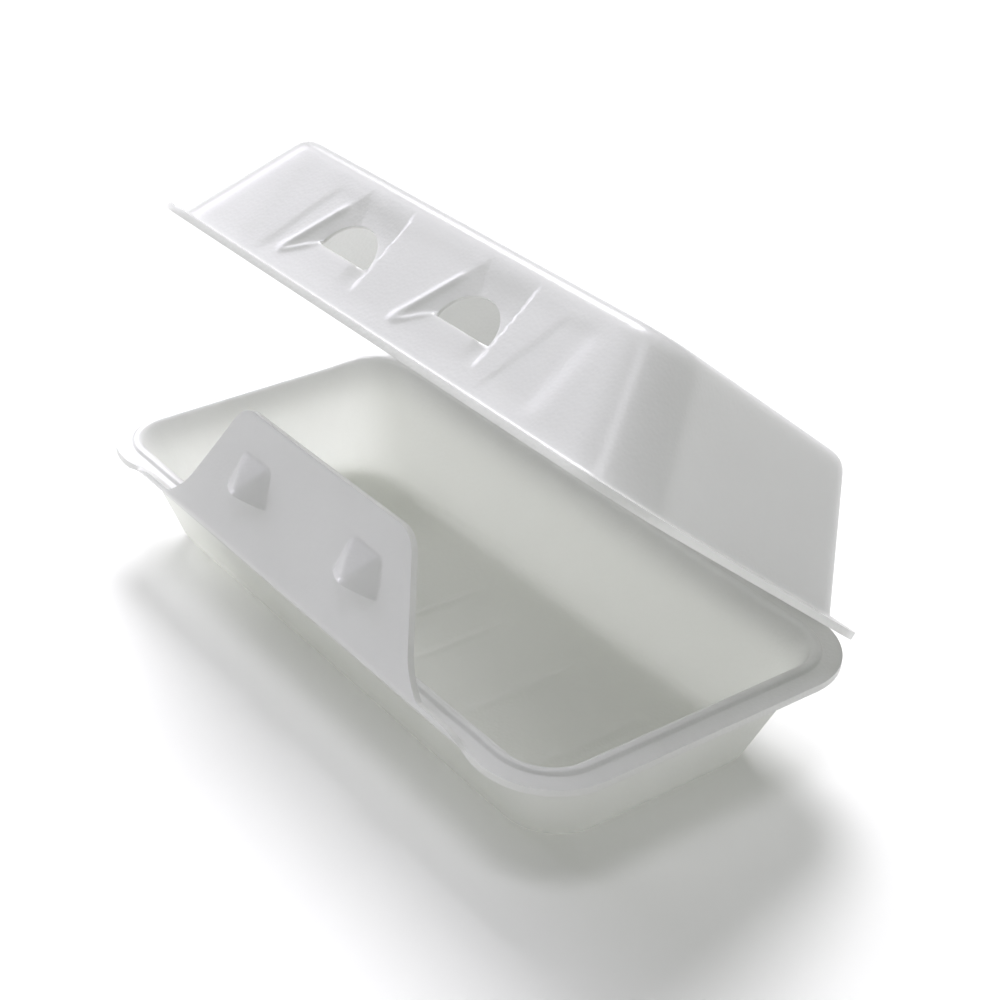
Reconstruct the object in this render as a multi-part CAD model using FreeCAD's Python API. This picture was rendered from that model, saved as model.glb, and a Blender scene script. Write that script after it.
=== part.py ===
"""Foam clamshell container: a tray with a front lock tab and a hinged lid with two slots. Sizes in mm."""
import FreeCAD, Part
import math
import os

# tray, seen from above: X along the length, the lock tab at the front (-Y), the hinge at the back (+Y)
LENGTH = 248.0            # over the flange, along X
WIDTH = 132.0             # over the tray's flange, along Y
RIM_HEIGHT = 39.4         # table to the top of the flange
SHEET = 2.4               # thickness of the foam
RIM_CORNER_R = 25.0       # outer corner of the flange, seen from above
FLANGE = 8.0              # flange edge to the outside of the tray's wall
BASE_END_INSET = 18.8     # flange edge to the edge of the base, at the two ends
BASE_SIDE_INSET = 21.8    # the same, at the front and the back
BASE_CORNER_R = 16.0
BASE_EDGE_R = 9.0         # rounding between wall and base
LIP_HEIGHT = 1.2          # raised lip inside the flange
LIP_INSET = 6.2           # flange edge to the lip

# lock tab at the front of the tray
TAB_LEAN = 21.0           # leans back over the tray, degrees from upright
TAB_HEIGHT = 45.0         # along the slope, from the rim's level
TAB_ROOT_HALF = 67.4      # half width of the straight sides where they meet the flange
TAB_TOP_HALF = 45.3       # half width of the top edge, before its corners are rounded
TAB_CORNER_R = 10.0
TAB_FLARE_R = 29.0        # the sides sweep out into the flange
TAB_BEND_R = 1.0          # inside radius of the bend at the tab's foot

# hoods on the tab, one for each slot of the lid
LOCK_SPACING = 60.0       # centre to centre, hoods and slots alike
HOOD_HALF = 10.8
HOOD_DEPTH = 5.4          # how far the lip stands out of the tab
HOOD_HEIGHT = 13.0
HOOD_LIP = 19.6           # lip above the rim, along the slope
HOOD_TIP = 0.12           # size of the pointed top compared with the lip
HOOD_SHEET = 1.7          # the foam is stretched thinner in the hood

# lid, described closed
LID_HEIGHT = 45.6         # above the top of the tray's flange
LID_GAP = 0.3             # between the two flanges when closed
LID_FLANGE = 6.5          # flange edge to the outside of the wall, at the ends and the back
LID_FRONT_FLANGE = 4.0
LID_FRONT_CLEAR = 0.7     # tray's front edge to the inside of the lid's front wall
LID_END_INSET = 32.0      # flange edge to the edge of the top, at the two ends
LID_FRONT_DRAFT = 14.7    # lean of the front wall, degrees
LID_BACK_INSET = 12.0
LID_BASE_CORNER_R = 21.0  # corner of the walls at the flange
LID_TOP_CORNER_R = 16.0
LID_TOP_EDGE_R = 6.5
REBATE_CLEAR = 0.3        # room around the tray's lip

# slots in the lid's front wall
SLOT_HALF = 12.0
SLOT_HEIGHT = 12.6
SLOT_GAP = 0.7            # slot's lower edge below the hood's lip, when closed
DENT_DEPTH = 1.4          # the foam round the slot is pressed in
DENT_LOW_HALF = 21.0
DENT_TOP_HALF = 13.0
DENT_HEIGHT = 17.0
DENT_SLOPE = 5.0          # width of the sloping border at the dent's sides
DENT_TOP_SLOPE = 0.7      # the border at the top, compared with the sides
DENT_BORDER = 1.0         # the pressed foam is this much wider on the inside
DENT_LEAD = 1.0           # the pressing starts this far outside the wall

# hinge
OPEN_ANGLE = 38.6         # how far the lid stands open in the built pose
HINGE_CLEAR = 0.2         # flange edges to the axis, along Y

LID_BASE_Z = RIM_HEIGHT + LID_GAP
LID_TOP_Z = RIM_HEIGHT + LID_HEIGHT
AXIS_Y = WIDTH / 2 + HINGE_CLEAR
AXIS_Z = RIM_HEIGHT + LID_GAP / 2
ALONG_X = FreeCAD.Vector(1, 0, 0)


def vec(x, y, z):
    return FreeCAD.Vector(x, y, z)


def polygon(points):
    return Part.makePolygon(points + [points[0]])


def prism(points, direction):
    """Solid swept from a flat outline."""
    return Part.Face(polygon(points)).extrude(direction)


def ends_of(edge):
    return [v.Point for v in edge.Vertexes]


def rounded_plate(half_x, y0, y1, z0, z1, radius):
    """Flat plate with four rounded corners, seen from above."""
    box = Part.makeBox(2 * half_x, y1 - y0, z1 - z0, vec(-half_x, y0, z0))
    upright = [e for e in box.Edges if abs(ends_of(e)[0].z - ends_of(e)[1].z) > 0.5 * (z1 - z0)]
    return box.makeFillet(radius, upright)


def pan(wide, narrow, corner_wide, corner_narrow, edge_r):
    """Tapered solid between two rectangles (half_x, y0, y1, z); corners and the narrow end's edge are rounded."""
    rings = []
    for half_x, y0, y1, z in (wide, narrow):
        ring = [vec(-half_x, y0, z), vec(half_x, y0, z), vec(half_x, y1, z), vec(-half_x, y1, z)]
        rings.append(ring if wide[3] > narrow[3] else ring[::-1])
    faces = [Part.Face(polygon(ring)) for ring in rings]
    for i in range(4):
        j = (i + 1) % 4
        faces.append(Part.Face(polygon([rings[0][i], rings[0][j], rings[1][j], rings[1][i]])))
    solid = Part.Solid(Part.Shell(faces))
    for i in range(4):
        for edge in solid.Edges:
            a, b = ends_of(edge)
            if a.distanceToPoint(rings[0][i]) < 1e-4 and b.distanceToPoint(rings[1][i]) < 1e-4:
                solid = solid.makeFillet(corner_wide, corner_narrow, [edge])
                break
            if b.distanceToPoint(rings[0][i]) < 1e-4 and a.distanceToPoint(rings[1][i]) < 1e-4:
                solid = solid.makeFillet(corner_narrow, corner_wide, [edge])
                break
    rim = [e for e in solid.Edges if max(abs(p.z - narrow[3]) for p in ends_of(e)) < 1e-4]
    return solid.makeFillet(edge_r, rim)


def inner_ring(outer, drafts, z):
    """Rectangle inside a ring of walls: outer is the outside at this height, drafts of end, front and back walls."""
    end, front, back = (SHEET / math.cos(math.radians(d)) for d in drafts)
    half_x, y0, y1 = outer
    return (half_x - end, y0 + front, y1 - back, z)


def at_height(low, high, z):
    """Outside rectangle of a tapered box at height z, from two known heights."""
    t = (z - low[3]) / (high[3] - low[3])
    return tuple(a + (b - a) * t for a, b in zip(low[:3], high[:3]))


def draft(inset, rise):
    return math.degrees(math.atan2(abs(inset), abs(rise)))


def lean_placement(y, z, lean):
    """Frame whose XZ plane is a wall's outside face, leaning back by lean degrees; outside is its -Y."""
    return FreeCAD.Placement(vec(0, y, z), FreeCAD.Rotation(ALONG_X, -lean))


def placed(shape, placement):
    shape.Placement = placement.multiply(shape.Placement)
    return shape


def tray_shell():
    half, side = LENGTH / 2, WIDTH / 2
    low = (half - BASE_END_INSET, -side + BASE_SIDE_INSET, side - BASE_SIDE_INSET, 0.0)
    high = (half - FLANGE, -side + FLANGE, side - FLANGE, RIM_HEIGHT - SHEET)
    rise = high[3] - low[3]
    drafts = (draft(BASE_END_INSET - FLANGE, rise),) + (draft(BASE_SIDE_INSET - FLANGE, rise),) * 2
    top_z = RIM_HEIGHT + LIP_HEIGHT
    corner = RIM_CORNER_R - FLANGE
    outside = pan(at_height(low, high, RIM_HEIGHT) + (RIM_HEIGHT,), low, corner, BASE_CORNER_R, BASE_EDGE_R)
    inside = pan(inner_ring(at_height(low, high, top_z), drafts, top_z),
                 inner_ring(at_height(low, high, SHEET), drafts, SHEET),
                 corner - SHEET, BASE_CORNER_R - SHEET, BASE_EDGE_R - SHEET)
    flange = rounded_plate(half, -side, side, RIM_HEIGHT - SHEET, RIM_HEIGHT, RIM_CORNER_R)
    lip = rounded_plate(half - LIP_INSET, -side + LIP_INSET, side - LIP_INSET,
                        RIM_HEIGHT - SHEET / 2, top_z, RIM_CORNER_R - LIP_INSET)
    return outside.fuse(flange).fuse(lip).cut(inside)


def tab_frame():
    """Frame of the tab's outside face; its origin is at the rim's level."""
    lean = math.radians(TAB_LEAN)
    bend = TAB_BEND_R + SHEET
    foot_y = -WIDTH / 2 + bend - bend * math.cos(lean)
    foot_h = TAB_BEND_R + bend * math.sin(lean)
    return lean_placement(foot_y - foot_h * math.tan(lean), RIM_HEIGHT, TAB_LEAN)


def tab_strip():
    """The flange's foam bent up into the leaning tab, over the full width of the flare."""
    lean = math.radians(TAB_LEAN)
    bend = TAB_BEND_R + SHEET
    centre = vec(0, -WIDTH / 2 + bend, RIM_HEIGHT + TAB_BEND_R)
    up = vec(0, math.sin(lean), math.cos(lean))
    out = vec(0, -math.cos(lean), math.sin(lean))
    down = vec(0, 0, -1)
    middle = (out + down).normalize()
    rise = up * (TAB_HEIGHT + SHEET)
    back = vec(0, FLANGE - bend + SHEET, 0)
    arcs = [Part.Arc(centre + out * r, centre + middle * r, centre + down * r).toShape() for r in (bend, TAB_BEND_R)]
    outer, inner = [[centre + out * r, centre + down * r] for r in (bend, TAB_BEND_R)]
    edges = [Part.makeLine(outer[0] + rise, outer[0]), arcs[0], Part.makeLine(outer[1], outer[1] + back),
             Part.makeLine(outer[1] + back, inner[1] + back), Part.makeLine(inner[1] + back, inner[1]),
             arcs[1], Part.makeLine(inner[0], inner[0] + rise), Part.makeLine(inner[0] + rise, outer[0] + rise)]
    face = Part.Face(Part.Wire(Part.__sortEdges__(edges)))
    reach = TAB_ROOT_HALF + TAB_FLARE_R
    return placed(face.extrude(ALONG_X * (2 * reach)), FreeCAD.Placement(vec(-reach, 0, 0), FreeCAD.Rotation()))


def tab_outline():
    """Prism with the outline of the tab, in the tab's own frame."""
    reach = TAB_ROOT_HALF + TAB_FLARE_R
    root = -SHEET
    half = [(reach, -20.0), (reach, root), (TAB_ROOT_HALF, root), (TAB_TOP_HALF, TAB_HEIGHT)]
    points = [vec(x, -20, z) for x, z in half] + [vec(-x, -20, z) for x, z in reversed(half)]
    body = prism(points, vec(0, 45, 0))
    for x, z, radius in ((TAB_TOP_HALF, TAB_HEIGHT, TAB_CORNER_R), (TAB_ROOT_HALF, root, TAB_FLARE_R)):
        edges = [e for e in body.Edges if all(abs(abs(p.x) - x) < 0.01 and abs(p.z - z) < 0.01 for p in ends_of(e))]
        body = body.makeFillet(radius, edges)
    return body


def hood(half, depth, height, reach):
    """Half cone standing out of the tab; reach is how far it goes back from the tab's outside face."""
    wires = []
    for scale, z in ((1.0, 0.0), (HOOD_TIP, height)):
        ellipse = Part.Ellipse(vec(0, 0, z), half * scale, depth * scale)
        arc = Part.ArcOfEllipse(ellipse, math.pi, 2 * math.pi).toShape()
        first, last = arc.valueAt(arc.FirstParameter), arc.valueAt(arc.LastParameter)
        back = vec(0, reach, 0)
        wires.append(Part.Wire([arc, Part.makeLine(last, last + back), Part.makeLine(last + back, first + back),
                                Part.makeLine(first + back, first)]))
    return Part.makeLoft(wires, True, True)


def tray():
    frame = tab_frame()
    tab = tab_strip().common(placed(tab_outline(), frame))
    body = tray_shell().fuse(tab)
    for side in (-1, 1):
        foot = FreeCAD.Placement(vec(side * LOCK_SPACING / 2, 0, HOOD_LIP), FreeCAD.Rotation())
        body = body.fuse(placed(hood(HOOD_HALF, HOOD_DEPTH, HOOD_HEIGHT, SHEET / 2), frame.multiply(foot)))
        hollow = hood(HOOD_HALF - HOOD_SHEET, HOOD_DEPTH - HOOD_SHEET, HOOD_HEIGHT - 2 * HOOD_SHEET, SHEET + 1)
        body = body.cut(placed(hollow, frame.multiply(foot)))
    return body.removeSplitter()


def lid_rectangles():
    """Outside of the lid's walls at the flange's underside and at the top: half_x, y0, y1, z."""
    lean = math.tan(math.radians(LID_FRONT_DRAFT))
    front = -WIDTH / 2 - LID_FRONT_CLEAR - SHEET / math.cos(math.radians(LID_FRONT_DRAFT))
    low = (LENGTH / 2 - LID_FLANGE, front, WIDTH / 2 - LID_FLANGE, LID_BASE_Z)
    high = (LENGTH / 2 - LID_END_INSET, front + (LID_TOP_Z - LID_BASE_Z) * lean, WIDTH / 2 - LID_BACK_INSET, LID_TOP_Z)
    return low, high


def lid_shell():
    low, high = lid_rectangles()
    rise = high[3] - low[3]
    drafts = (draft(low[0] - high[0], rise), LID_FRONT_DRAFT, draft(low[2] - high[2], rise))
    under = LID_BASE_Z - 1.0
    outside = pan(low, high, LID_BASE_CORNER_R, LID_TOP_CORNER_R, LID_TOP_EDGE_R)
    inside = pan(inner_ring(at_height(low, high, under), drafts, under),
                 inner_ring(at_height(low, high, LID_TOP_Z - SHEET), drafts, LID_TOP_Z - SHEET),
                 LID_BASE_CORNER_R - SHEET, LID_TOP_CORNER_R - SHEET, LID_TOP_EDGE_R - SHEET)
    flange = rounded_plate(LENGTH / 2, low[1] - LID_FRONT_FLANGE, WIDTH / 2, LID_BASE_Z, LID_BASE_Z + SHEET, RIM_CORNER_R)
    inset = LIP_INSET - REBATE_CLEAR
    rebate = rounded_plate(LENGTH / 2 - inset, low[1] + SHEET + 1.0, WIDTH / 2 - inset, RIM_HEIGHT,
                           RIM_HEIGHT + LIP_HEIGHT + REBATE_CLEAR, RIM_CORNER_R - inset)
    return outside.fuse(flange).cut(inside).cut(rebate)


def slot_frame():
    """Frame of the front wall's outside face; its origin is at the tray's rim level."""
    low, high = lid_rectangles()
    back = LID_GAP * math.tan(math.radians(LID_FRONT_DRAFT))
    return lean_placement(low[1] - back, RIM_HEIGHT, LID_FRONT_DRAFT)


def slot_foot():
    """Height of the slot's lower edge along the front wall, from the height of the hood's lip."""
    lip = HOOD_LIP * math.cos(math.radians(TAB_LEAN))
    return (lip - SLOT_GAP) / math.cos(math.radians(LID_FRONT_DRAFT))


def slot_hole():
    """D-shaped hole through the wall, straight edge down."""
    arc = Part.Arc(vec(-SLOT_HALF, 0, 0), vec(0, 0, SLOT_HEIGHT), vec(SLOT_HALF, 0, 0)).toShape()
    base = Part.makeLine(vec(SLOT_HALF, 0, 0), vec(-SLOT_HALF, 0, 0))
    hole = Part.Face(Part.Wire([arc, base])).extrude(vec(0, 4 * SHEET, 0))
    return placed(hole, FreeCAD.Placement(vec(0, -SHEET, 0), FreeCAD.Rotation()))


def dent(offset, slack):
    """Truncated pyramid pressed into the wall; offset moves it inward, slack widens it."""
    rings = []
    for depth in (-DENT_LEAD, DENT_DEPTH):
        side = DENT_SLOPE * depth / DENT_DEPTH
        top = DENT_HEIGHT + slack - side * DENT_TOP_SLOPE
        low_half = DENT_LOW_HALF + slack - side
        top_half = DENT_TOP_HALF + slack - side * DENT_TOP_SLOPE
        y = depth + offset
        rings.append(polygon([vec(-low_half, y, -slack), vec(low_half, y, -slack), vec(top_half, y, top), vec(-top_half, y, top)]))
    return Part.makeLoft(rings, True, True)


def lid():
    body = lid_shell()
    frame = slot_frame()
    for side in (-1, 1):
        foot = frame.multiply(FreeCAD.Placement(vec(side * LOCK_SPACING / 2, 0, slot_foot()), FreeCAD.Rotation()))
        body = body.fuse(placed(dent(SHEET, DENT_BORDER), foot))
        body = body.cut(placed(dent(0.0, 0.0), foot))
        body = body.cut(placed(slot_hole(), foot))
    return body.removeSplitter()


def opened(shape, degrees):
    """Turns the closed lid open about the hinge."""
    shape.rotate(vec(0, AXIS_Y, AXIS_Z), ALONG_X, -degrees)
    return shape


os.makedirs("parts", exist_ok=True)
tray_body = tray()
lid_body = opened(lid(), OPEN_ANGLE)
tray_body.exportStep("parts/tray.step")
lid_body.exportStep("parts/lid.step")
for name, body in (("tray", tray_body), ("lid", lid_body)):
    print(name, "valid", body.isValid(), "solids", len(body.Solids), "volume", round(body.Volume))
print("hinge axis at y", AXIS_Y, "z", AXIS_Z)
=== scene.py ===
"""Foam clamshell container standing open: a tray with a lock tab, and a hinged lid with two slots."""
import math

import bmesh
import bpy
import numpy as np
from mathutils import Matrix, Vector, noise


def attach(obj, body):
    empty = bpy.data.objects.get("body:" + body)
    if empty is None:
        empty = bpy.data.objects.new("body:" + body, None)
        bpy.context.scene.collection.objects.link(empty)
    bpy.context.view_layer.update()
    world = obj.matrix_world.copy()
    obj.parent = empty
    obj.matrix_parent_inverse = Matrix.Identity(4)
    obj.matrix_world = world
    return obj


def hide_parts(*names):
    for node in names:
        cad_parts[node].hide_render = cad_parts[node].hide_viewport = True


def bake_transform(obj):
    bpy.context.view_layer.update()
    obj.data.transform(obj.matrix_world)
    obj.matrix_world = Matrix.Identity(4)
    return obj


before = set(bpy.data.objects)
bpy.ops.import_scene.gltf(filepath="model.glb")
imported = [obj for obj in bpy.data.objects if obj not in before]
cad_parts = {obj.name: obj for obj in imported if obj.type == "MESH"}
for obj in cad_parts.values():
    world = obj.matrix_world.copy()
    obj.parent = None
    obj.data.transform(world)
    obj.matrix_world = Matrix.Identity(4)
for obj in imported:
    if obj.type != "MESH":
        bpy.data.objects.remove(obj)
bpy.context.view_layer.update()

# sizes in mm, in the same frame as the CAD
MM = 0.001
SHEET = 2.4
LENGTH = 248.0
WIDTH = 132.0
HALF_X = LENGTH / 2
HALF_Y = WIDTH / 2
RIM_HEIGHT = 39.4
RIM_CORNER_R = 25.0

# tray walls and flange
FLANGE = 8.0
BASE_END_INSET = 18.8
BASE_SIDE_INSET = 21.8
BASE_CORNER_R = 19.0
BASE_EDGE_CUT = 7.0
STEP_INSET = 5.8          # the flat band ends here
STEP_WIDTH = 0.9
LIP_HEIGHT = 1.15
LIP_CUT = 1.7
FLOOR_CUT = 5.5
STEP_CUTS = (0.35, 0.45)
FLANGE_CUT = 1.5
BASE_MARGIN = 9.0
FLOOR_MARGIN = 8.0
BASE_SPINE_HALF = 58.0     # the rows of the base run in to this middle line
FLOOR_RIDGES = (-74.0, -42.0, -10.0, 10.0, 42.0, 74.0)
FLOOR_RIDGE_WIDTH = 1.6
FLOOR_RIDGE_HALF = 25.0
FLOOR_RIDGE_FADE = 6.0
FLOOR_RIDGE_HEIGHT = 0.55
FLOOR_TOP = 6.0            # ridges fade out up the walls
FLOOR_TOP_FADE = 3.0
WALL_UNEVEN = 0.22
WALL_PATCH = 24.0
WALL_UNEVEN_FADE = ((4.0, 5.0), (36.0, 6.0))
WALL_END_X = 60.0

# lock tab
TAB_LEAN = math.radians(21.0)
TAB_TOP = 45.0            # height along the slope, from the rim's level
TAB_ROOT_HALF = 67.4
TAB_TOP_HALF = 45.3
TAB_CORNER_R = 10.0
TAB_FLARE_R = 29.0
TAB_BEND_R = 1.0
TAB_REACH = 77.0          # beyond this the flange alone bends up
FLARE_END = 98.0          # beyond this the flange is flat
FLARE_LENGTH = 16.0
TAB_FIXED = 33.0          # rows below this height stay level near the hoods
TAB_SCALED = 44.5         # columns shorter than this have their rows evenly scaled
TAB_SCALED_FADE = 6.5
TAB_BOW = 0.5
TAB_BOW_START = 8.0
TAB_BOW_FADE = 30.0
TAB_ROW_COUNTS = (17, 22, 13)

# hoods on the tab
LOCK_SPACING = 60.0
HOOD_LIP = 19.6
HOOD_HALF = 10.8
HOOD_TOP_HALF = 7.5
HOOD_HEIGHT = 12.6
HOOD_DEPTH = 5.6
HOOD_SHEET = 1.7
HOOD_ROUND = 1.35         # 1 gives flat facets, more gives a rounder hood
HOOD_RIDGE = 0.1          # rounding of the ridges
HOOD_LIP_RISE = 0.7       # the cut edge curls outward
HOOD_LIP_WIDTH = 1.6
HOOD_LIP_ENDS = 6.0
HOOD_RIDGE_SPAN = 1.2
HOOD_RIDGE_LOSS = 0.35
HOOD_THIN_RISE = 2.0

# lid, described closed
LID_BASE_Z = 39.7
LID_TOP_Z = 85.0
LID_WALL_INSET = 6.5
LID_FRONT_Y = -69.18      # outside of the front wall at its foot
LID_FRONT_FLANGE = 4.0
LID_FRONT_DRAFT = math.radians(14.7)
LID_END_INSET = 32.0
LID_BACK_INSET = 12.0
LID_BASE_CORNER_R = 21.0
LID_TOP_CORNER_R = 16.0
LID_TOP_EDGE_CUT = 5.0
LID_INNER_EDGE_CUT = 3.8
LID_FOOT_CUT = 1.2
LID_TOP_MARGIN = 9.0
LID_INNER_MARGIN = 8.0
LID_SPINE_HALF = 50.0
LID_WALL_STEPS = 50
REBATE_INSET = 5.9
REBATE_DEPTH = 1.25
REBATE_GAP = 0.1
REBATE_SLOPE = 0.15
REBATE_CUTS = (0.15, 0.3, 0.3)
FRONT_UNEVEN = 0.16
FRONT_PATCH = 30.0
FRONT_SINK = 0.8
FRONT_UNEVEN_FADE = ((4.0, 8.0), (44.0, 8.0))
FRONT_PANEL = (((-62.0, 10.0), (-53.0, 36.0)), ((50.0, 5.0), (58.5, 37.0)))
PANEL_STEP = -0.22
PANEL_STEP_RUN = 1.6
PANEL_FADE = ((3.0, 8.0), (40.0, 6.0))
HOLLOW_FADE = ((4.0, 5.0), (42.0, 4.0))
LID_SMOOTH_HALF = 76.0
LID_SMOOTH_FADE = 8.0

# slots in the lid's front wall
SLOT_HALF = 12.0
SLOT_HEIGHT = 12.6
SLOT_FOOT = 18.2          # above the rim's level, along the wall
PRESS_DEPTH = 1.7         # the foam beside a slot is pressed in
PRESS_LEFT = ((-25.0, -10.0), (-12.0, 17.0))
PRESS_LEFT_RUN = 9.0
PRESS_LOW = ((-25.0, -10.0), (-11.5, 0.6))
PRESS_LOW_RUN = 1.1
PRESS_RIGHT = ((14.6, -9.5), (13.6, 17.0))
PRESS_RIGHT_RUN = 1.2
PRESS_TOP = 25.0
PRESS_TOP_RUN = 15.0
PRESS_FOOT = -0.5
PRESS_FOOT_RUN = 0.9
PRESS_TAIL = 0.7
PRESS_TAIL_RISE = 10.0
PRESS_TAIL_START = 6.0
PRESS_TAIL_RUN = 7.0
CREASES = ((PRESS_LEFT, 0.6), (PRESS_LOW, 0.5))
CREASE_WIDTH = 1.1
CREASE_ENDS = (4.0, 6.0)
SLOT_EDGE_SHEET = 1.1     # the foam is pressed thin at the slot's edge
SLOT_THIN_RUN = 6.0

# hinge
OPEN_ANGLE = math.radians(38.6)
AXIS_Y = 66.2
AXIS_Z = 39.55

# foam web along the hinge; places are (y, z), the lid's one closed
WEB_HALF = 102.0
WEB_THICK = 0.9
WEB_TRAY_EDGE = (65.0, 38.3)
WEB_LID_EDGE = (65.0, 40.8)
WEB_BULGE = (0.75, 0.1)
WEB_POINTS = 9
WEB_SECTIONS = 205
WEB_PINCH = 0.35
WEB_PINCH_RUN = 5.0
WEB_RIPPLE = 0.06
WEB_RIPPLE_LENGTH = 3.1

# foam
FOAM_WHITE = (0.91, 0.91, 0.92)
CUT_WHITE = (0.92, 0.92, 0.91)
FOAM_GLOW = (0.95, 0.957, 0.925)
FOAM_IOR = 1.45
FOAM_SHEEN = 0.05
FOAM_COAT = 1.0
FOAM_COAT_ROUGHNESS = 0.24
SKIN = (0.42, 0.35, 0.25)  # roughness, bead bump, crumple bump
CUT = (0.6, 0.8, 0.1)
BEADS_PER_M = 850.0
BEAD_SMOOTHNESS = 0.6
GRAINS_PER_M = 2600.0
WAVES_PER_M = 55.0
TONES_PER_M = 18.0
TONE_RANGE = (0.35, 0.65)
DARKER_TONE = 0.965
WAVE_DEPTH = 0.5
BEAD_DEPTH = 0.12
GRAIN_DEPTH = 0.03
GRAIN_BUMP = 0.12

# share of light that passes through, low and high up: the tray's walls are stretched thinner than its rim
THIN_BELOW = 26.0
THICK_ABOVE = 42.0
LID_TRANSLUCENCY = (0.42, 0.42)
TRAY_TRANSLUCENCY = (0.7, 0.3)
CUT_TRANSLUCENCY = (0.3, 0.3)

# surroundings, in metres
FLOOR_HALF = 6.0
FLOOR_DROP = 0.0002
FLOOR_COLOUR = (0.93, 0.935, 0.915)
FLOOR_LIFT = 0.085

# (direction to the lamp, level, angular size, colour): light from behind passes through the foam
SUNS = {
    "key": ((-27.0, 20.0, 39.0), 0.95, 28.0, (1.0, 0.982, 1.035)),
    "side": ((-0.9, -0.1, 0.42), 0.32, 30.0, (0.985, 0.955, 1.07)),
    "top": ((0.10, -0.18, 0.97), 0.16, 18.0, (0.99, 0.97, 1.04)),
}
WORLD_COLOUR = (0.97, 1.0, 0.93)
WORLD_LEVEL = 0.2

# camera
CAMERA_AT = (446.8, -366.5, 404.4)
CAMERA_YAW = -58.3
CAMERA_PITCH = -27.67
CAMERA_ROLL = -0.37
CAMERA_LENS = 73.95
CAMERA_SHIFT = (0.2869, -0.1395)     # the photo is cropped to one side of its own middle


def smooth(t):
    t = np.clip(t, 0.0, 1.0)
    return t * t * (3 - 2 * t)


def mix(a, b, t):
    return a + (b - a) * t


def between(value, fades):
    """1 between two heights, fading to 0 at each; fades are (start, run) and (end, run)."""
    (start, rise), (end, fall) = fades
    return smooth((value - start) / rise) * smooth((end - value) / fall)


def wobble(points, size, seed):
    """Soft random number for each point, between about -1 and 1; size in mm."""
    shift = Vector((seed * 17.3, seed * 5.1, seed * 9.7))
    values = [noise.noise(Vector(p) / size + shift) for p in points.reshape(-1, 3)]
    return np.array(values).reshape(points.shape[:-1])


# grids round a rounded rectangle

def spread(stops):
    """Fractions along a straight side, -1 to 1; stops are (end, step) pairs from the middle outward."""
    half = [0.0]
    for end, step in stops:
        start = half[-1]
        count = max(1, round((end - start) / step))
        half += [mix(start, end, (k + 1) / count) for k in range(count)]
    return np.array([-f for f in half[:0:-1]] + half)


def ring(half_x, y0, y1, radius, z, columns):
    """Points round a rounded rectangle, from the front left; the front's straight side comes first."""
    along_x, along_y, turns = columns
    xs = along_x * (half_x - radius)
    middle = (y0 + y1) / 2
    ys = along_y * ((y1 - y0) / 2 - radius)
    cx, front, back = half_x - radius, y0 + radius, y1 - radius

    def corner(x, y, start):
        angles = np.radians(start + turns)
        return np.column_stack([x + radius * np.cos(angles), y + radius * np.sin(angles)])

    parts = [
        np.column_stack([xs, np.full(len(xs), y0)]),
        corner(cx, front, -90),
        np.column_stack([np.full(len(ys), half_x), middle + ys]),
        corner(cx, back, 0),
        np.column_stack([xs[::-1], np.full(len(xs), y1)]),
        corner(-cx, back, 90),
        np.column_stack([np.full(len(ys), -half_x), middle - ys]),
        corner(-cx, front, 180),
    ]
    flat = np.vstack(parts)
    return np.column_stack([flat, np.full(len(flat), z)])


def profile(points, cuts, steps, turn=5):
    """Rows along a profile line of (half_x, y0, y1, radius, z); corners are rounded over their cut lengths.
    Also returns the row where each straight run starts."""
    points = [np.array(p, float) for p in points]
    rows = [points[0]]
    starts = []
    last = len(points) - 1
    for k in range(1, last + 1):
        before, corner = points[k - 1], points[k]
        end = corner
        if k < last:
            end = corner + (before - corner) * cuts[k - 1] / run_length(before, corner)
        start = rows[-1]
        starts.append(len(rows) - 1)
        rows += [mix(start, end, (s + 1) / steps[k - 1]) for s in range(steps[k - 1])]
        if k < last:
            after = corner + (points[k + 1] - corner) * cuts[k - 1] / run_length(points[k + 1], corner)
            for s in range(1, turn + 1):
                t = s / turn
                rows.append((1 - t) ** 2 * end + 2 * t * (1 - t) * corner + t * t * after)
    return rows, starts


def run_length(a, b):
    return max(math.hypot(a[0] - b[0], a[4] - b[4]), 1e-6)


def rings(rows, columns):
    return np.array([ring(*row, columns) for row in rows])


def closed_plate(edge, half_x, middle, count, columns):
    """Rows from a plate's edge ring to its middle line."""
    spine = ring(half_x, middle, middle, 0.0, edge[0, 2], columns)
    return np.array([mix(edge, spine, (k + 1) / count) for k in range(count)])


# mesh building

def new_body():
    return {"verts": [], "faces": [], "slots": []}


def add_grid(body, grid, wrap=False, skip=None, slot=0):
    first = len(body["verts"])
    rows, cols = grid.shape[:2]
    body["verts"].extend(map(tuple, grid.reshape(-1, 3)))
    for i in range(rows - 1):
        for j in range(cols if wrap else cols - 1):
            if skip is not None and skip[i, j]:
                continue
            k = (j + 1) % cols
            low, high = first + i * cols, first + (i + 1) * cols
            body["faces"].append((low + j, low + k, high + k, high + j))
            body["slots"].append(slot)


def add_quad(body, corners, slot):
    first = len(body["verts"])
    body["verts"].extend(map(tuple, corners))
    body["faces"].append(tuple(range(first, first + len(corners))))
    body["slots"].append(slot)


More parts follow.
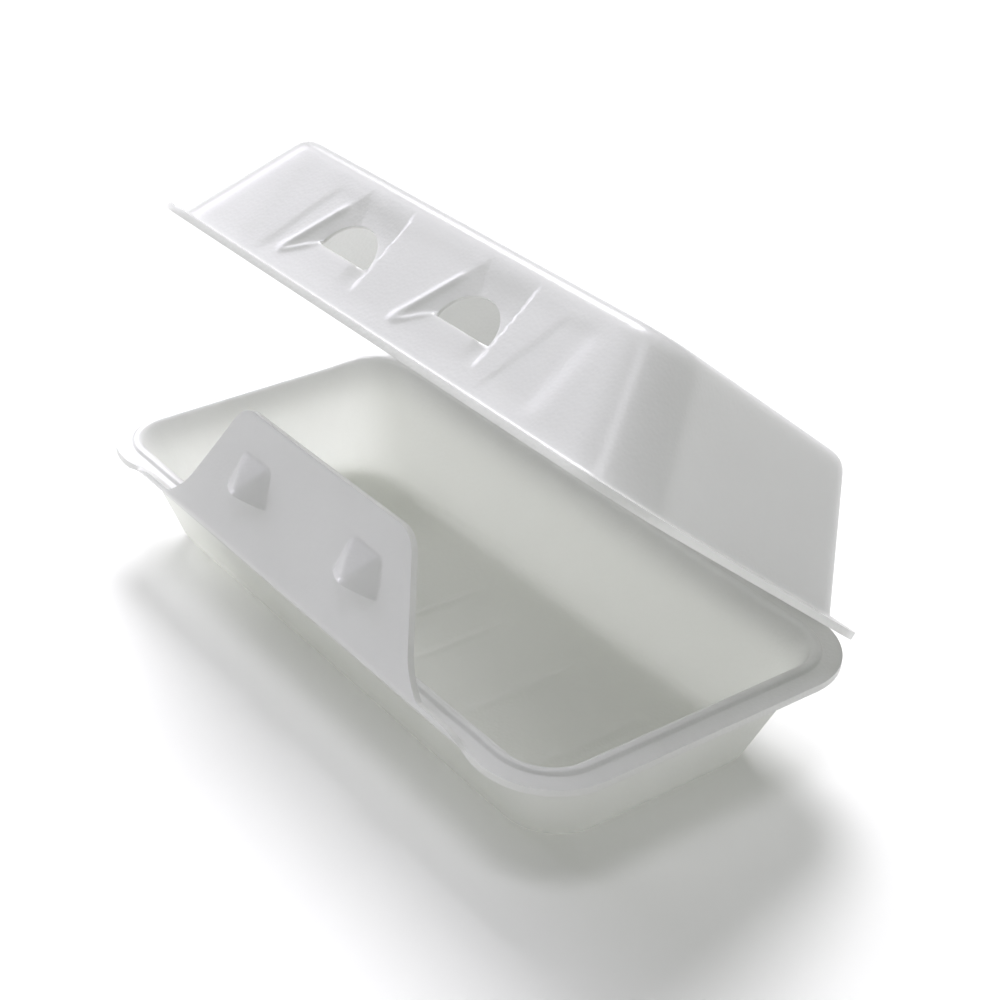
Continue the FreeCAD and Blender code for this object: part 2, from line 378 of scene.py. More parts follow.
def make_object(name, body, materials, weld=0.004):
    mesh = bpy.data.meshes.new(name)
    verts = [tuple(c * MM for c in v) for v in body["verts"]]
    mesh.from_pydata(verts, [], body["faces"])
    mesh.polygons.foreach_set("material_index", body["slots"])
    for material in materials:
        mesh.materials.append(material)
    bm = bmesh.new()
    bm.from_mesh(mesh)
    bmesh.ops.remove_doubles(bm, verts=bm.verts, dist=weld * MM)
    bmesh.ops.dissolve_degenerate(bm, edges=bm.edges, dist=weld * MM)
    bmesh.ops.recalc_face_normals(bm, faces=bm.faces)
    bm.to_mesh(mesh)
    bm.free()
    for polygon in mesh.polygons:
        polygon.use_smooth = True
    obj = bpy.data.objects.new(name, mesh)
    bpy.context.scene.collection.objects.link(obj)
    return obj


def soften_cuts(obj, width):
    """Rounds the sharp cut edges of the sheet."""
    bevel = obj.modifiers.new("cut edges", "BEVEL")
    bevel.width = width * MM
    bevel.segments = 3
    bevel.limit_method = "ANGLE"
    bevel.angle_limit = math.radians(55)
    bevel.use_clamp_overlap = True


# tray

TRAY_COLUMNS = (
    spread([(0.46, 0.0092), (0.64, 0.0085), (0.94, 0.016), (1.0, 0.03)]),
    spread([(1.0, 0.11)]),
    np.linspace(0, 90, 15)[1:-1],
)
BEND_OUT = TAB_BEND_R + SHEET
BEND_TURN = math.pi / 2 + TAB_LEAN
BEND_STEPS = 7


def tray_ring(end, side, radius, z):
    return (HALF_X - end, -HALF_Y + side, HALF_Y - side, radius, z)


def tray_wall_insets(z, offset):
    """Insets of the wall at a height, for the ends and the sides; offset moves inward from the outside."""
    rise = RIM_HEIGHT - SHEET
    out = []
    for foot in (BASE_END_INSET, BASE_SIDE_INSET):
        lean = math.atan2(foot - FLANGE, rise)
        out.append(foot - z * math.tan(lean) + offset / math.cos(lean))
    return out


def flare_weight(x):
    return smooth((FLARE_END - np.abs(x)) / FLARE_LENGTH)


def bend_rows(radius, flat_z, columns):
    """The flange's last strip, bent up into the tab at the front and flat elsewhere."""
    count = len(columns[0])
    rows = []
    for k in range(BEND_STEPS + 1):
        t = k / BEND_STEPS
        inset = BEND_OUT * (1 - t)
        row = ring(*tray_ring(inset, inset, RIM_CORNER_R - inset, flat_z), columns)
        angle = BEND_TURN * t
        front = row[:count]
        weight = flare_weight(front[:, 0])
        front[:, 1] = mix(front[:, 1], -HALF_Y + BEND_OUT - radius * math.sin(angle), weight)
        front[:, 2] = mix(front[:, 2], RIM_HEIGHT + TAB_BEND_R - radius * math.cos(angle), weight)
        rows.append(row)
    return np.array(rows)


def tray_outside(columns):
    foot_end, foot_side = BASE_END_INSET, BASE_SIDE_INSET
    under = RIM_HEIGHT - SHEET
    rows, _ = profile(
        [
            tray_ring(foot_end + BASE_MARGIN, foot_side + BASE_MARGIN, BASE_CORNER_R - BASE_MARGIN, 0.0),
            tray_ring(foot_end, foot_side, BASE_CORNER_R, 0.0),
            tray_ring(FLANGE, FLANGE, RIM_CORNER_R - FLANGE, under),
            tray_ring(BEND_OUT, BEND_OUT, RIM_CORNER_R - BEND_OUT, under),
        ],
        cuts=(BASE_EDGE_CUT, FLANGE_CUT),
        steps=(1, 9, 3),
        turn=6,
    )
    grid = rings(rows, columns)
    plate = closed_plate(grid[0], BASE_SPINE_HALF, 0.0, 7, columns)[::-1]
    return np.concatenate([plate, grid, bend_rows(BEND_OUT, under, columns)[1:]])


def tray_inside(columns):
    top_z = RIM_HEIGHT + LIP_HEIGHT
    crest = tray_wall_insets(top_z, SHEET)
    floor = tray_wall_insets(SHEET, SHEET)
    corner = RIM_CORNER_R - FLANGE - SHEET
    floor_corner = BASE_CORNER_R - SHEET
    rise = STEP_INSET + STEP_WIDTH
    rows, _ = profile(
        [
            tray_ring(BEND_OUT, BEND_OUT, RIM_CORNER_R - BEND_OUT, RIM_HEIGHT),
            tray_ring(STEP_INSET, STEP_INSET, RIM_CORNER_R - STEP_INSET, RIM_HEIGHT),
            tray_ring(rise, rise, RIM_CORNER_R - rise, top_z),
            tray_ring(*crest, corner, top_z),
            tray_ring(*floor, floor_corner, SHEET),
            tray_ring(floor[0] + FLOOR_MARGIN, floor[1] + FLOOR_MARGIN, floor_corner - FLOOR_MARGIN, SHEET),
        ],
        cuts=(*STEP_CUTS, LIP_CUT, FLOOR_CUT),
        steps=(2, 1, 1, 16, 1),
        turn=6,
    )
    grid = rings(rows, columns)
    plate = closed_plate(grid[-1], BASE_SPINE_HALF, 0.0, 22, columns)
    bend = bend_rows(TAB_BEND_R, RIM_HEIGHT, columns)[::-1]
    return np.concatenate([bend[:-1], grid, plate])


def shape_floor(grid):
    """Faint cross ridges in the floor, and the slight unevenness of formed foam on the walls."""
    x, y, z = grid[..., 0], grid[..., 1], grid[..., 2]
    on_floor = smooth((FLOOR_TOP - z) / FLOOR_TOP_FADE)
    height = np.zeros_like(x)
    for centre in FLOOR_RIDGES:
        across = np.exp(-((x - centre) / FLOOR_RIDGE_WIDTH) ** 2)
        height += across * smooth((FLOOR_RIDGE_HALF - np.abs(y)) / FLOOR_RIDGE_FADE)
    grid[..., 2] += FLOOR_RIDGE_HEIGHT * height * on_floor
    on_wall = between(z, WALL_UNEVEN_FADE)
    inward = grid.copy()
    inward[..., 2] = 0
    inward[..., 0] = np.sign(x) * np.maximum(np.abs(x) - WALL_END_X, 0.0)
    inward /= np.maximum(np.linalg.norm(inward, axis=-1, keepdims=True), 1e-6)
    amount = WALL_UNEVEN * (wobble(grid, WALL_PATCH, 3) - 1.0) * on_wall
    grid += inward * amount[..., None]


def tab_height(x):
    """Height of the tab's edge along the slope, above the rim's level, at each x."""
    x = np.abs(x)
    root = -SHEET
    side = (TAB_ROOT_HALF - TAB_TOP_HALF) / (TAB_TOP - root)
    slant = math.atan(side)
    reach = math.tan((math.pi / 2 - slant) / 2)
    top_x = TAB_TOP_HALF - TAB_CORNER_R * reach
    flare_x = TAB_ROOT_HALF + TAB_FLARE_R * reach
    straight = root + (TAB_ROOT_HALF - x) / side
    top_arc = TAB_TOP - TAB_CORNER_R + np.sqrt(np.maximum(TAB_CORNER_R**2 - (x - top_x) ** 2, 0.0))
    flare_arc = root + TAB_FLARE_R - np.sqrt(np.maximum(TAB_FLARE_R**2 - (x - flare_x) ** 2, 0.0))
    arc_end = top_x + TAB_CORNER_R * math.cos(slant)
    flare_start = flare_x - TAB_FLARE_R * math.cos(slant)
    height = np.where(x <= top_x, TAB_TOP, top_arc)
    height = np.where(x > arc_end, straight, height)
    return np.where(x > flare_start, flare_arc, height)


TAB_UP = np.array([0.0, math.sin(TAB_LEAN), math.cos(TAB_LEAN)])
TAB_OUT = np.array([0.0, -math.cos(TAB_LEAN), math.sin(TAB_LEAN)])
TAB_FOOT = np.array([0.0, -HALF_Y + BEND_OUT, RIM_HEIGHT + TAB_BEND_R]) + TAB_OUT * BEND_OUT
TAB_FOOT_S = (TAB_FOOT[2] - RIM_HEIGHT) / math.cos(TAB_LEAN)


def tab_rows():
    """Heights of the tab's rows, and the row at the hoods' lips."""
    low_count, middle_count, high_count = TAB_ROW_COUNTS
    low = np.linspace(TAB_FOOT_S, HOOD_LIP, low_count)
    middle = np.linspace(HOOD_LIP, TAB_FIXED, middle_count)[1:]
    high = np.linspace(TAB_FIXED, TAB_TOP, high_count)[1:]
    return np.concatenate([low, middle, high]), len(low) - 1


def hood_rise(x, s):
    """How far the hoods stand out of the tab."""
    out = np.zeros_like(x)
    for centre in (-LOCK_SPACING / 2, LOCK_SPACING / 2):
        u = np.abs(x - centre) / HOOD_HALF
        v = (s - HOOD_LIP) / HOOD_HEIGHT
        top = 1 - v
        side = 1 - u - (1 - HOOD_TOP_HALF / HOOD_HALF) * v
        soft = HOOD_RIDGE * smooth((HOOD_RIDGE_SPAN - np.abs(top - side) / HOOD_RIDGE) / HOOD_RIDGE_SPAN)
        loss = HOOD_RIDGE_LOSS * soft * np.clip(v * 4, 0, 1)
        facet = np.clip(np.minimum(top, side) - loss, 0.0, 1.0)
        lip = HOOD_LIP_RISE * smooth(1 - (s - HOOD_LIP) / HOOD_LIP_WIDTH) * smooth(side * HOOD_LIP_ENDS)
        out = np.maximum(out, HOOD_DEPTH * (1 - (1 - facet) ** HOOD_ROUND) + lip)
    return out


def add_tab(body, outside, inside, columns):
    """The tab's two faces, its cut edge and the hoods' cuts."""
    front = outside[-1, :len(columns[0])]
    keep = np.abs(front[:, 0]) <= TAB_REACH
    xs = front[keep, 0]
    foot_out = front[keep]
    foot_in = inside[0, :len(columns[0])][keep]
    levels, lip_row = tab_rows()
    height = np.maximum(tab_height(xs), TAB_FOOT_S)
    level = levels[:, None]
    above = (level - TAB_FIXED) * (height - TAB_FIXED) / (TAB_TOP - TAB_FIXED)
    stretched = np.where(level > TAB_FIXED, TAB_FIXED + above, level)
    scaled = TAB_FOOT_S + (level - TAB_FOOT_S) * (height - TAB_FOOT_S) / (TAB_TOP - TAB_FOOT_S)
    s = mix(stretched, scaled, smooth((TAB_SCALED - height) / TAB_SCALED_FADE)[None, :])
    flat = TAB_FOOT + (s - TAB_FOOT_S)[..., None] * TAB_UP
    flat[..., 0] = xs
    bow = TAB_BOW * smooth((s - TAB_BOW_START) / TAB_BOW_FADE) * (1 - (xs / TAB_TOP_HALF) ** 2)
    flat = flat + bow[..., None] * TAB_OUT
    flat[0] = foot_out
    rise = hood_rise(np.broadcast_to(xs, s.shape), s)
    rise[:lip_row] = 0.0
    thick = mix(SHEET, HOOD_SHEET, smooth(rise / HOOD_THIN_RISE))
    face = flat + rise[..., None] * TAB_OUT
    back = flat + (rise - thick)[..., None] * TAB_OUT
    back[0] = foot_in
    face_low = flat[:lip_row + 1]
    back_low = np.concatenate([back[:lip_row], (flat[lip_row] - SHEET * TAB_OUT)[None]])
    for low, high in ((face_low, face[lip_row:]), (back_low, back[lip_row:])):
        add_grid(body, low)
        add_grid(body, high)
    add_grid(body, np.array([face[-1], back[-1]]), slot=1)
    for j in range(len(xs) - 1):
        if rise[lip_row, j] > 0 or rise[lip_row, j + 1] > 0:
            pair = [j, j + 1]
            add_quad(body, [*face[lip_row, pair], *back[lip_row, pair[::-1]]], 1)
            add_quad(body, [*face_low[-1, pair], *back_low[-1, pair[::-1]]], 1)
    return keep


def build_tray(materials):
    body = new_body()
    outside = tray_outside(TRAY_COLUMNS)
    inside = tray_inside(TRAY_COLUMNS)
    shape_floor(inside)
    add_grid(body, outside, wrap=True)
    add_grid(body, inside, wrap=True)
    keep = add_tab(body, outside, inside, TRAY_COLUMNS)
    edge = np.array([outside[-1], inside[0]])
    skip = np.zeros((1, edge.shape[1]), bool)
    count = len(keep)
    skip[0, :count - 1] = keep[:-1] & keep[1:]
    add_grid(body, edge, wrap=True, skip=skip, slot=1)
    tray = make_object("tray_foam", body, materials)
    soften_cuts(tray, 0.5)
    return tray


# lid

LID_COLUMNS = (
    spread([(0.1, 0.012), (0.6, 0.0092), (0.76, 0.016), (1.0, 0.03)]),
    spread([(1.0, 0.11)]),
    np.linspace(0, 90, 15)[1:-1],
)


def lid_wall(z, offset=0.0):
    """Wall rectangle and corner radius at a height; offset moves inward from the outside."""
    t = (z - LID_BASE_Z) / (LID_TOP_Z - LID_BASE_Z)
    rise = LID_TOP_Z - LID_BASE_Z
    lean = math.tan(LID_FRONT_DRAFT)
    ends = (LID_END_INSET - LID_WALL_INSET) / rise
    back = (LID_BACK_INSET - LID_WALL_INSET) / rise
    half_x = HALF_X - LID_WALL_INSET - ends * rise * t - offset * math.hypot(1, ends)
    y0 = LID_FRONT_Y + lean * rise * t + offset * math.hypot(1, lean)
    y1 = HALF_Y - LID_WALL_INSET - back * rise * t - offset * math.hypot(1, back)
    radius = mix(LID_BASE_CORNER_R, LID_TOP_CORNER_R, t) - offset
    return (half_x, y0, y1, radius, z)


def lid_flange(inset, z):
    return (HALF_X - inset, LID_FRONT_Y - LID_FRONT_FLANGE + inset, HALF_Y - inset, RIM_CORNER_R - inset, z)


def shrink(row, by):
    half_x, y0, y1, radius, z = row
    return (half_x - by, y0 + by, y1 - by, radius - by, z)


def lid_surfaces(columns):
    """Outside and inside grids, and the row where each one's wall starts."""
    flange_z = LID_BASE_Z + SHEET
    top = lid_wall(LID_TOP_Z)
    outer, outer_starts = profile(
        [lid_flange(0, flange_z), lid_wall(flange_z), top, shrink(top, LID_TOP_MARGIN)],
        cuts=(LID_FOOT_CUT, LID_TOP_EDGE_CUT),
        steps=(4, LID_WALL_STEPS, 1),
        turn=6,
    )
    inner_top = lid_wall(LID_TOP_Z - SHEET, SHEET)
    rebate_z = LID_BASE_Z + REBATE_DEPTH
    half_x, _, y1, radius, _ = lid_flange(REBATE_INSET, LID_BASE_Z)
    step = (half_x, LID_FRONT_Y + SHEET + REBATE_GAP, y1, radius, LID_BASE_Z)
    inner, inner_starts = profile(
        [
            lid_flange(0, LID_BASE_Z),
            step,
            shrink(step, REBATE_SLOPE)[:4] + (rebate_z,),
            lid_wall(rebate_z, SHEET),
            inner_top,
            shrink(inner_top, LID_INNER_MARGIN),
        ],
        cuts=(*REBATE_CUTS, LID_INNER_EDGE_CUT),
        steps=(3, 1, 2, LID_WALL_STEPS, 1),
        turn=3,
    )
    grids = []
    for rows in (outer, inner):
        grid = rings(rows, columns)
        middle = (grid[-1][:, 1].min() + grid[-1][:, 1].max()) / 2
        grids.append(np.concatenate([grid, closed_plate(grid[-1], LID_SPINE_HALF, middle, 9, columns)]))
    return grids, (outer_starts[1], inner_starts[3])


FRONT_UP = np.array([0.0, math.sin(LID_FRONT_DRAFT), math.cos(LID_FRONT_DRAFT)])
FRONT_OUT = np.array([0.0, -math.cos(LID_FRONT_DRAFT), math.sin(LID_FRONT_DRAFT)])
FRONT_RUN = (LID_BASE_Z - RIM_HEIGHT) / math.cos(LID_FRONT_DRAFT)
FRONT_ORIGIN = np.array([0.0, LID_FRONT_Y, LID_BASE_Z]) - FRONT_UP * FRONT_RUN
SLOT_ARC_Z = (SLOT_HEIGHT**2 - SLOT_HALF**2) / (2 * SLOT_HEIGHT)
SLOT_ARC_R = SLOT_HEIGHT - SLOT_ARC_Z


def in_slot(u, v):
    return (v > 0) & (u * u + (v - SLOT_ARC_Z) ** 2 < SLOT_ARC_R**2)


def slot_sheet(x, s):
    """Thickness of the foam round the slots."""
    out = np.full_like(x, SHEET)
    for centre in (-LOCK_SPACING / 2, LOCK_SPACING / 2):
        u, v = x - centre, s - SLOT_FOOT
        away = np.maximum(np.hypot(u, v - SLOT_ARC_Z) - SLOT_ARC_R, -v)
        out = np.minimum(out, mix(SLOT_EDGE_SHEET, SHEET, smooth(away / SLOT_THIN_RUN)))
    return out


def to_slot_edge(u, v):
    """Nearest point on the slot's D-shaped outline."""
    angle = math.atan2(v - SLOT_ARC_Z, u)
    arc = (SLOT_ARC_R * math.cos(angle), SLOT_ARC_Z + SLOT_ARC_R * math.sin(angle))
    line = (min(max(u, -SLOT_HALF), SLOT_HALF), 0.0)
    candidates = [line] + ([arc] if arc[1] >= 0 else [])
    return min(candidates, key=lambda p: math.hypot(p[0] - u, p[1] - v))


def beyond(u, v, line, run):
    """Distance to the left of a crease line, in runs."""
    (ax, ay), (bx, by) = line
    length = math.hypot(bx - ax, by - ay)
    distance = ((v - ay) * (bx - ax) - (u - ax) * (by - ay)) / length
    return distance / run


def pressed(x, s):
    """Displacement of the front wall along its outward normal."""
    out = np.zeros_like(x)
    for centre in (-LOCK_SPACING / 2, LOCK_SPACING / 2):
        u, v = x - centre, s - SLOT_FOOT
        left = np.clip(-beyond(u, v, PRESS_LEFT, PRESS_LEFT_RUN), 0, 1)
        right = smooth(beyond(u, v, PRESS_RIGHT, PRESS_RIGHT_RUN))
        low_left = smooth(beyond(u, v, PRESS_LOW, PRESS_LOW_RUN))
        low = np.where(u < PRESS_LOW[1][0], low_left, smooth((v - PRESS_FOOT) / PRESS_FOOT_RUN))
        tail = smooth((v - PRESS_RIGHT[0][1]) / PRESS_TAIL_RISE)
        tail = tail * smooth((u - PRESS_TAIL_START) / PRESS_TAIL_RUN)
        low = np.maximum(low, PRESS_TAIL * tail)
        top = smooth((PRESS_TOP - v) / PRESS_TOP_RUN)
        depth = np.minimum(np.minimum(left, right), np.minimum(low, top))
        out -= PRESS_DEPTH * depth
        for line, height in CREASES:
            out += height * ridge(u, v, line)
    return out


def ridge(u, v, line):
    """Raised crease along a line, fading at its ends."""
    (ax, ay), (bx, by) = line
    length = math.hypot(bx - ax, by - ay)
    along = ((u - ax) * (bx - ax) + (v - ay) * (by - ay)) / length
    across = ((v - ay) * (bx - ax) - (u - ax) * (by - ay)) / length
    fade = between(along, ((0.0, CREASE_ENDS[0]), (length, CREASE_ENDS[1])))
    return np.exp(-(across / CREASE_WIDTH) ** 2) * fade


def shape_front(grids, starts, columns):
    """Snaps the front wall's grid to the slots, presses the foam beside them and returns the holes."""
    outer, inner = grids
    count = len(columns[0])
    low, high = starts[0], starts[0] + LID_WALL_STEPS + 1
    wall = outer[low:high, :count]
    x = wall[..., 0].copy()
    s = (wall - FRONT_ORIGIN) @ FRONT_UP
    holes = np.zeros((wall.shape[0] - 1, count - 1), bool)
    for centre in (-LOCK_SPACING / 2, LOCK_SPACING / 2):
        inside = in_slot(x - centre, s - SLOT_FOOT)
        cells = inside[:-1, :-1] & inside[1:, :-1] & inside[:-1, 1:] & inside[1:, 1:]
        holes |= cells
        whole = np.ones_like(inside)
        whole[:-1, :-1] &= cells
        whole[1:, :-1] &= cells
        whole[:-1, 1:] &= cells
        whole[1:, 1:] &= cells
        for i, j in zip(*np.nonzero(inside & ~whole)):
            u, v = to_slot_edge(x[i, j] - centre, s[i, j] - SLOT_FOOT)
            x[i, j], s[i, j] = centre + u, SLOT_FOOT + v
    flat = FRONT_ORIGIN + s[..., None] * FRONT_UP
    flat[..., 0] = x
    push = pressed(x, s)
    wave = FRONT_UNEVEN * (wobble(flat, FRONT_PATCH, 1) - FRONT_SINK) * between(s, FRONT_UNEVEN_FADE)
    panel = np.zeros_like(s)
    for a, b in FRONT_PANEL:
        line_x = mix(a[0], b[0], (s - a[1]) / (b[1] - a[1]))
        panel += PANEL_STEP * smooth((x - line_x) / PANEL_STEP_RUN)
    push = push + wave + panel * between(s, PANEL_FADE)
    edge = smooth((LID_SMOOTH_HALF - np.abs(x)) / LID_SMOOTH_FADE)
    outer[low:high, :count] = flat + (push * edge)[..., None] * FRONT_OUT
    level = between(s, HOLLOW_FADE) * edge
    inner_low = starts[1]
    hollow = flat + (push - slot_sheet(x, s))[..., None] * FRONT_OUT
    rows = slice(inner_low, inner_low + LID_WALL_STEPS + 1)
    inner[rows, :count] = mix(inner[rows, :count], hollow, level[..., None])
    return holes


def opened(points):
    """Turns closed-lid points to the open pose."""
    y, z = points[..., 1] - AXIS_Y, points[..., 2] - AXIS_Z
    out = points.copy()
    out[..., 1] = AXIS_Y + y * math.cos(OPEN_ANGLE) + z * math.sin(OPEN_ANGLE)
    out[..., 2] = AXIS_Z - y * math.sin(OPEN_ANGLE) + z * math.cos(OPEN_ANGLE)
    return out


def build_lid(materials):
    grids, starts = lid_surfaces(LID_COLUMNS)
    holes = shape_front(grids, starts, LID_COLUMNS)
    outer, inner = (opened(grid) for grid in grids)
    body = new_body()
    for grid, start in ((outer, starts[0]), (inner, starts[1])):
        skip = np.zeros((grid.shape[0] - 1, grid.shape[1]), bool)
        skip[start:start + holes.shape[0], :holes.shape[1]] = holes
        add_grid(body, grid, wrap=True, skip=skip)
    add_grid(body, np.array([outer[0], inner[0]]), wrap=True, slot=1)
    for i, j in zip(*np.nonzero(holes)):
        sides = (((i, j), (i, j + 1), (i - 1, j)), ((i + 1, j), (i + 1, j + 1), (i + 1, j)),
                 ((i, j), (i + 1, j), (i, j - 1)), ((i, j + 1), (i + 1, j + 1), (i, j + 1)))
        for a, b, other in sides:
            if not holes[other]:
                corners = [outer[starts[0] + a[0], a[1]], outer[starts[0] + b[0], b[1]],
                           inner[starts[1] + b[0], b[1]], inner[starts[1] + a[0], a[1]]]
                add_quad(body, corners, 1)
    lid = make_object("lid_foam", body, materials)
    soften_cuts(lid, 0.45)
    return lid


# hinge web

def build_web(materials):
    """The creased foam that joins the two flanges along the back."""
    tray_edge = np.array(WEB_TRAY_EDGE)
    lid_edge = opened(np.array([[0.0, *WEB_LID_EDGE]]))[0, 1:]
    bulge = np.array([AXIS_Y + WEB_BULGE[0], AXIS_Z + WEB_BULGE[1]])
    pull = 2 * bulge - (tray_edge + lid_edge) / 2
    path = []
    for k in range(WEB_POINTS):
        t = k / (WEB_POINTS - 1)
        path.append((1 - t) ** 2 * tray_edge + 2 * t * (1 - t) * pull + t * t * lid_edge)
    path = np.array(path)
    ahead = np.gradient(path, axis=0)
    ahead /= np.linalg.norm(ahead, axis=1, keepdims=True)
    out = np.column_stack([ahead[:, 1], -ahead[:, 0]]) * (WEB_THICK / 2)
    section = np.concatenate([path + out, (path - out)[::-1]])
    centre = path[WEB_POINTS // 2]
    rows = []
    for x in np.linspace(-WEB_HALF, WEB_HALF, WEB_SECTIONS):
        pinch = 1 - WEB_PINCH * smooth((abs(x) - WEB_HALF + WEB_PINCH_RUN) / WEB_PINCH_RUN)
        ripple = WEB_RIPPLE * noise.noise(Vector((x / WEB_RIPPLE_LENGTH, 0.0, 4.0)))
        ring_yz = centre + (section - centre) * pinch + np.array([ripple, 0.0])
        rows.append(np.column_stack([np.full(len(section), x), ring_yz]))
    grid = np.array(rows)
    body = new_body()
    add_grid(body, grid, wrap=True)
    for end in (grid[0], grid[-1]):
        add_quad(body, end, 0)
    return make_object("hinge_web", body, materials)


# materials

def add_node(nodes, kind, **inputs):
    node = nodes.new(kind)
    for name, value in inputs.items():
        node.inputs[name.replace("_", " ")].default_value = value
    return node


def foam(name, colour, roughness, bead_bump, crumple_bump, translucency):
    """Expanded-foam skin: fine bead cells, soft waves and a faint change of tone."""
    material = bpy.data.materials.new(name)
    material.use_nodes = True
    nodes, links = material.node_tree.nodes, material.node_tree.links
    shader = nodes["Principled BSDF"]
    shader.inputs["Roughness"].default_value = roughness
    shader.inputs["IOR"].default_value = FOAM_IOR
    shader.inputs["Sheen Weight"].default_value = FOAM_SHEEN
    shader.inputs["Coat Weight"].default_value = FOAM_COAT
    shader.inputs["Coat Roughness"].default_value = FOAM_COAT_ROUGHNESS
    place = nodes.new("ShaderNodeTexCoord")
    beads = add_node(nodes, "ShaderNodeTexVoronoi", Scale=BEADS_PER_M, Randomness=1.0)
    beads.feature = "SMOOTH_F1"
    beads.inputs["Smoothness"].default_value = BEAD_SMOOTHNESS
    fine = add_node(nodes, "ShaderNodeTexNoise", Scale=GRAINS_PER_M, Detail=3.0, Roughness=0.6)
    waves = add_node(nodes, "ShaderNodeTexNoise", Scale=WAVES_PER_M, Detail=4.0, Roughness=0.55)
    tone = add_node(nodes, "ShaderNodeTexNoise", Scale=TONES_PER_M, Detail=5.0, Roughness=0.6)
    for texture in (beads, fine, waves, tone):
        links.new(place.outputs["Object"], texture.inputs["Vector"])
    ramp = nodes.new("ShaderNodeMix")
    ramp.data_type = "RGBA"
    ramp.inputs["A"].default_value = (*[c * DARKER_TONE for c in colour], 1)
    ramp.inputs["B"].default_value = (*colour, 1)
    lift = nodes.new("ShaderNodeMapRange")
    lift.inputs["From Min"].default_value, lift.inputs["From Max"].default_value = TONE_RANGE
    links.new(tone.outputs["Fac"], lift.inputs["Value"])
    links.new(lift.outputs["Result"], ramp.inputs["Factor"])
    links.new(ramp.outputs["Result"], shader.inputs["Base Color"])
    bumps = (
        (waves, "Fac", crumple_bump, WAVE_DEPTH),
        (beads, "Distance", bead_bump, BEAD_DEPTH),
        (fine, "Fac", GRAIN_BUMP, GRAIN_DEPTH),
    )
    normal = None
    for texture, output, strength, depth in bumps:
        bump = add_node(nodes, "ShaderNodeBump", Strength=strength, Distance=depth * MM)
        links.new(texture.outputs[output], bump.inputs["Height"])
        if normal is not None:
            links.new(normal, bump.inputs["Normal"])
        normal = bump.outputs["Normal"]
    links.new(normal, shader.inputs["Normal"])
    glow = add_node(nodes, "ShaderNodeBsdfTranslucent", Color=(*FOAM_GLOW, 1))
    links.new(normal, glow.inputs["Normal"])
    blend = nodes.new("ShaderNodeMixShader")
    low, high = translucency
    height = nodes.new("ShaderNodeSeparateXYZ")
    thin = nodes.new("ShaderNodeMapRange")
    thin.interpolation_type = "SMOOTHSTEP"
    thin.inputs["From Min"].default_value = THIN_BELOW * MM
    thin.inputs["From Max"].default_value = THICK_ABOVE * MM
    thin.inputs["To Min"].default_value = low
    thin.inputs["To Max"].default_value = high
    links.new(place.outputs["Object"], height.inputs["Vector"])
    links.new(height.outputs["Z"], thin.inputs["Value"])
    links.new(thin.outputs["Result"], blend.inputs["Fac"])
    links.new(shader.outputs["BSDF"], blend.inputs[1])
    links.new(glow.outputs["BSDF"], blend.inputs[2])
    links.new(blend.outputs["Shader"], nodes["Material Output"].inputs["Surface"])
    return material


def plain(name, colour, roughness):
    material = bpy.data.materials.new(name)
    material.use_nodes = True
    shader = material.node_tree.nodes["Principled BSDF"]
    shader.inputs["Base Color"].default_value = (*colour, 1)
    shader.inputs["Roughness"].default_value = roughness
    shader.inputs["Specular IOR Level"].default_value = 0.0
    return material


# surroundings

def whiten_background(material, lift):
    """Adds white that the camera sees but that lights nothing."""
    nodes, links = material.node_tree.nodes, material.node_tree.links
    rays = nodes.new("ShaderNodeLightPath")
    seen = rays.outputs["Is Camera Ray"]
    for name in ("Is Glossy Ray", "Is Transmission Ray"):
        either = nodes.new("ShaderNodeMath")
        either.operation = "MAXIMUM"
        links.new(seen, either.inputs[0])
        links.new(rays.outputs[name], either.inputs[1])
        seen = either.outputs["Value"]
    strength = nodes.new("ShaderNodeMath")
    strength.operation = "MULTIPLY"
    strength.inputs[1].default_value = lift
    links.new(seen, strength.inputs[0])
    shader = nodes["Principled BSDF"]
    shader.inputs["Emission Color"].default_value = (1, 1, 1, 1)
    links.new(strength.outputs["Value"], shader.inputs["Emission Strength"])


def add_floor():
    mesh = bpy.data.meshes.new("floor")
    size = FLOOR_HALF
    corners = [(-size, -size, 0), (size, -size, 0), (size, size, 0), (-size, size, 0)]
    mesh.from_pydata(corners, [], [(0, 1, 2, 3)])
    material = plain("floor", FLOOR_COLOUR, 1.0)
    whiten_background(material, FLOOR_LIFT)
    mesh.materials.append(material)
    floor = bpy.data.objects.new("floor", mesh)
    floor.location.z = -FLOOR_DROP
    bpy.context.scene.collection.objects.link(floor)


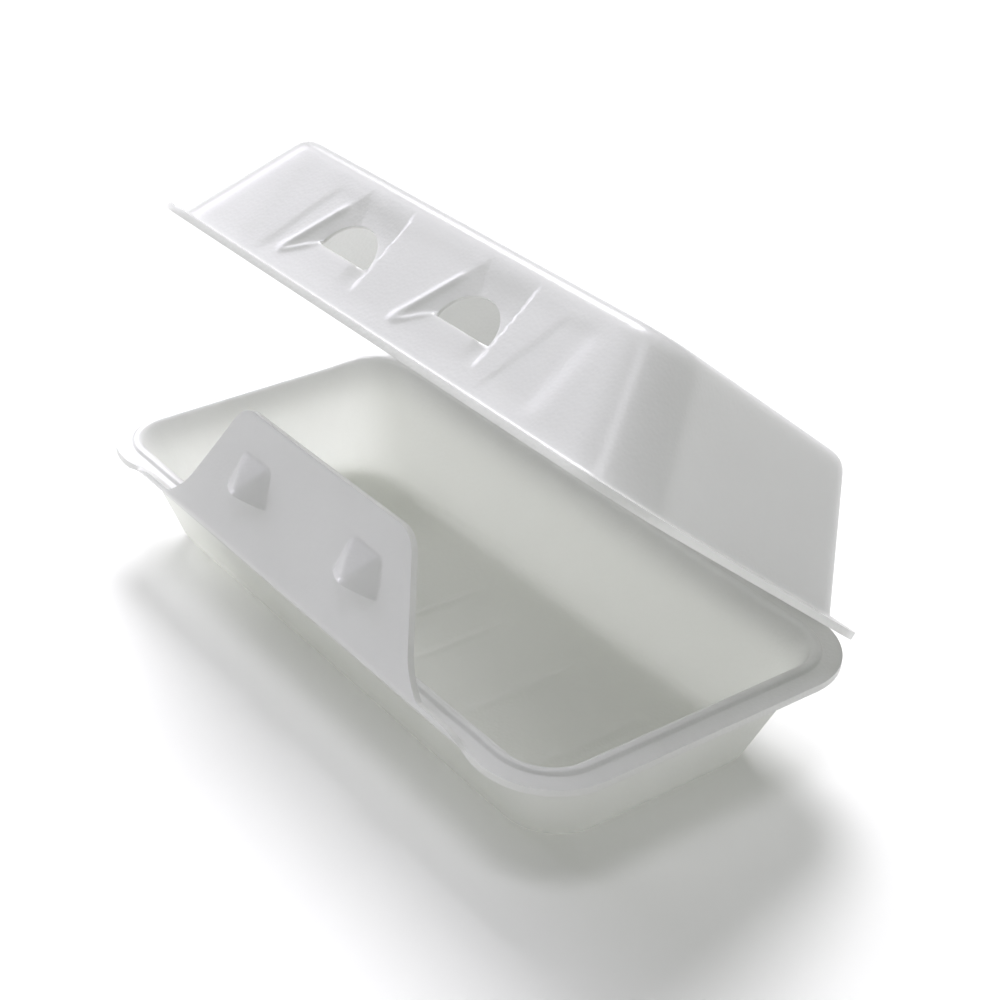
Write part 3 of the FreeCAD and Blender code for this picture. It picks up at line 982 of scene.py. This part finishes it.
def add_sun(name, toward, level, spread_angle, colour):
    light = bpy.data.lights.new(name, "SUN")
    light.energy = level * math.pi
    light.angle = math.radians(spread_angle)
    light.color = colour
    lamp = bpy.data.objects.new(name, light)
    lamp.rotation_euler = Vector(toward).to_track_quat("Z", "Y").to_euler()
    bpy.context.scene.collection.objects.link(lamp)


def add_light():
    for name, (toward, level, size, colour) in SUNS.items():
        add_sun(name, toward, level, size, colour)
    world = bpy.data.worlds.new("surroundings")
    world.use_nodes = True
    background = world.node_tree.nodes["Background"]
    background.inputs["Color"].default_value = (*WORLD_COLOUR, 1)
    background.inputs["Strength"].default_value = WORLD_LEVEL
    bpy.context.scene.world = world


def add_camera():
    yaw, pitch, roll = (math.radians(a) for a in (CAMERA_YAW, CAMERA_PITCH, CAMERA_ROLL))
    ahead = Vector((math.sin(yaw) * math.cos(pitch), math.cos(yaw) * math.cos(pitch), math.sin(pitch)))
    level = Vector((math.cos(yaw), -math.sin(yaw), 0))
    up = level.cross(ahead)
    right = level * math.cos(roll) + up * math.sin(roll)
    up = up * math.cos(roll) - level * math.sin(roll)
    data = bpy.data.cameras.new("camera")
    data.sensor_width = 36.0
    data.lens = CAMERA_LENS
    data.shift_x, data.shift_y = CAMERA_SHIFT
    data.clip_start = 0.01
    data.clip_end = 50.0
    camera = bpy.data.objects.new("camera", data)
    matrix = Matrix((right, up, -ahead)).transposed().to_4x4()
    matrix.translation = Vector(CAMERA_AT) * MM
    camera.matrix_world = matrix
    bpy.context.scene.collection.objects.link(camera)
    bpy.context.scene.camera = camera


# the object

tray_skin = foam("tray foam skin", FOAM_WHITE, *SKIN, TRAY_TRANSLUCENCY)
lid_skin = foam("lid foam skin", FOAM_WHITE, *SKIN, LID_TRANSLUCENCY)
cut = foam("cut foam", CUT_WHITE, *CUT, CUT_TRANSLUCENCY)
tray = build_tray((tray_skin, cut))
lid = build_lid((lid_skin, cut))
web = build_web((tray_skin,))
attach(tray, "tray")
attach(lid, "lid")
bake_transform(web)
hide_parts("tray")
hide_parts("lid")

add_floor()
add_light()
add_camera()
bpy.context.scene.view_settings.view_transform = "Standard"
